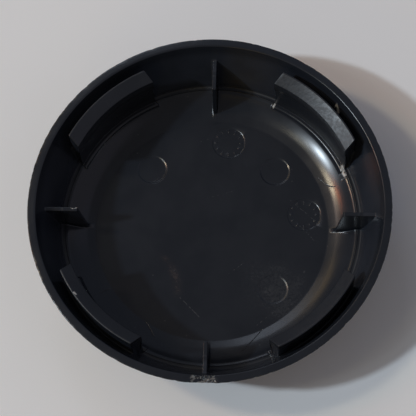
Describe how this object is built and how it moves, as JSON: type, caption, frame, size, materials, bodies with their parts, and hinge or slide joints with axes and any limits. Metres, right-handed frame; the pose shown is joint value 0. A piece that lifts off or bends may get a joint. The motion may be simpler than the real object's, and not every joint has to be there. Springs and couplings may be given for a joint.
{
  "type": "wheel centre cap",
  "caption": "Round moulded centre cap for a car wheel: a shallow flared cup with snap lugs and stiffening ribs inside its open back.",
  "frame": {"origin": "centre of the flat front face, which the cap lies on", "axes": "+Z along the cap's axis, out of the open back; +X along one rib and +Y along the next"},
  "size_m": [0.0698, 0.0698, 0.0162],
  "materials": {
    "black_plastic": "satin black moulded plastic, scuffed on the floor and nicked along the rim"
  },
  "bodies": {
    "root": {"cap": "black_plastic"}
  },
  "joints": []
}
